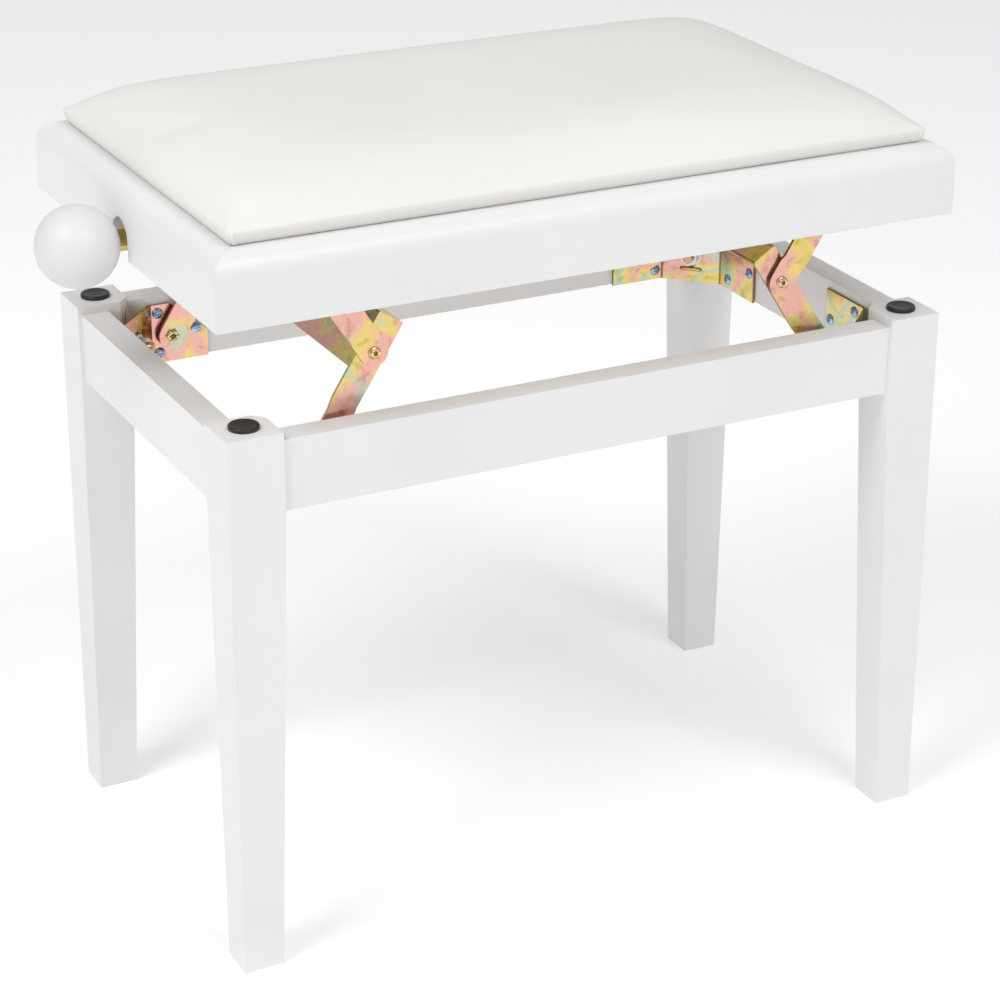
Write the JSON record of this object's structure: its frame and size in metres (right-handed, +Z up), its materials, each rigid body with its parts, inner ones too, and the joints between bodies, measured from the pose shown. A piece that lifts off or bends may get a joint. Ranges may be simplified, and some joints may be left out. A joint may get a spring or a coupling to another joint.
{
  "type": "piano bench",
  "caption": "Height-adjustable piano bench with tapered legs, an apron base, folding-link lift turned by a side ball knob, and a padded seat.",
  "frame": {"origin": "on the floor under the middle of the bounding box, which includes the knob; the seat frame's middle is 28.25 mm towards +X", "axes": "+Z up; X along the bench's width with the knob on the -X side; -Y is the side shown to the front"},
  "size_m": [0.6154, 0.342, 0.5617],
  "materials": {
    "white_lacquer": "satin white lacquer",
    "bare_wood": "bare",
    "leatherette": "fine grain, satin",
    "yellow_zinc": "yellow chromate zinc plate",
    "blue_zinc": "blue zinc plate",
    "bright_steel": "bright turned",
    "black_rubber": "matte",
    "white_ball": "satin white lacquer"
  },
  "bodies": {
    "base": {"leg_front_left": "white_lacquer", "leg_front_right": "white_lacquer", "leg_rear_left": "white_lacquer", "leg_rear_right": "white_lacquer", "apron_front": "white_lacquer", "apron_rear": "white_lacquer", "apron_left": "white_lacquer", "apron_right": "white_lacquer", "apron_dowels": "bare_wood", "leg_top_pads": "black_rubber", "corner_bracket_front_left": "yellow_zinc", "corner_bracket_front_right": "yellow_zinc", "corner_bracket_rear_left": "yellow_zinc", "corner_bracket_rear_right": "yellow_zinc", "corner_bracket_screws": "blue_zinc", "leg_bolts": "yellow_zinc", "leg_nuts": "bright_steel", "base_pivot_rivets": "yellow_zinc"},
    "lower_link_left": {"lower_link_left": "yellow_zinc", "knee_rivets_left": "yellow_zinc"},
    "lower_link_right": {"lower_link_right": "yellow_zinc", "knee_rivets_right": "yellow_zinc"},
    "upper_link_left": {"upper_link_left": "yellow_zinc"},
    "upper_link_right": {"upper_link_right": "yellow_zinc"},
    "seat": {"seat_rail_front": "white_lacquer", "seat_rail_rear": "white_lacquer", "seat_rail_left": "white_lacquer", "seat_rail_right": "white_lacquer", "seat_board": "bare_wood", "seat_battens": "bare_wood", "cushion_panel": "bare_wood", "cushion": "leatherette", "seat_bracket_front_left": "yellow_zinc", "seat_bracket_front_right": "yellow_zinc", "seat_bracket_rear_left": "yellow_zinc", "seat_bracket_rear_right": "yellow_zinc", "seat_bracket_screws": "blue_zinc", "seat_pivot_rivets": "yellow_zinc", "spindle_bearing_left": "yellow_zinc", "spindle_bearing_right": "yellow_zinc", "bearing_screws": "blue_zinc"},
    "spindle": {"spindle": "bright_steel", "spindle_sleeve": "yellow_zinc", "spindle_collars": "bright_steel", "knob": "white_ball"},
    "nut_block_left": {"nut_block_left": "bright_steel"},
    "nut_block_right": {"nut_block_right": "bright_steel"}
  },
  "joints": [
    {"name": "seat_lift", "type": "hinge", "parent": "base", "child": "lower_link_left", "pos_m": [-0.16775, 0, 0.36], "axis": [0, -1, 0], "range_deg": [-33, 14]},
    {"name": "knee_left", "type": "hinge", "parent": "lower_link_left", "child": "upper_link_left", "pos_m": [-0.12423, 0, 0.42832], "axis": [0, -1, 0], "range_deg": [-28, 66]},
    {"name": "seat_pivot_left", "type": "hinge", "parent": "upper_link_left", "child": "seat", "pos_m": [-0.16775, 0, 0.49663], "axis": [0, -1, 0], "range_deg": [-33, 14]},
    {"name": "lift_right", "type": "hinge", "parent": "base", "child": "lower_link_right", "pos_m": [0.23425, 0, 0.36], "axis": [0, -1, 0], "range_deg": [-14, 33]},
    {"name": "knee_right", "type": "hinge", "parent": "lower_link_right", "child": "upper_link_right", "pos_m": [0.19073, 0, 0.42832], "axis": [0, -1, 0], "range_deg": [-66, 28]},
    {"name": "spindle_turn", "type": "hinge", "parent": "seat", "child": "spindle", "pos_m": [0.03325, 0, 0.48473], "axis": [1, 0, 0], "range_deg": [-556, 1310]},
    {"name": "nut_left", "type": "slide", "parent": "seat", "child": "nut_block_left", "axis": [1, 0, 0], "range_m": [-0.0031, 0.0073]},
    {"name": "nut_right", "type": "slide", "parent": "seat", "child": "nut_block_right", "axis": [1, 0, 0], "range_m": [-0.0073, 0.0031]}
  ],
  "couplings": [
    {"joint": "knee_left", "follows": "seat_lift", "ratio": -2},
    {"joint": "seat_pivot_left", "follows": "seat_lift", "ratio": 1},
    {"joint": "lift_right", "follows": "seat_lift", "ratio": -1},
    {"joint": "knee_right", "follows": "seat_lift", "ratio": 2},
    {"joint": "spindle_turn", "follows": "seat_lift", "ratio": -39.68},
    {"joint": "nut_left", "follows": "seat_lift", "m_per_rad": -0.01263},
    {"joint": "nut_right", "follows": "seat_lift", "m_per_rad": 0.01263}
  ]
}
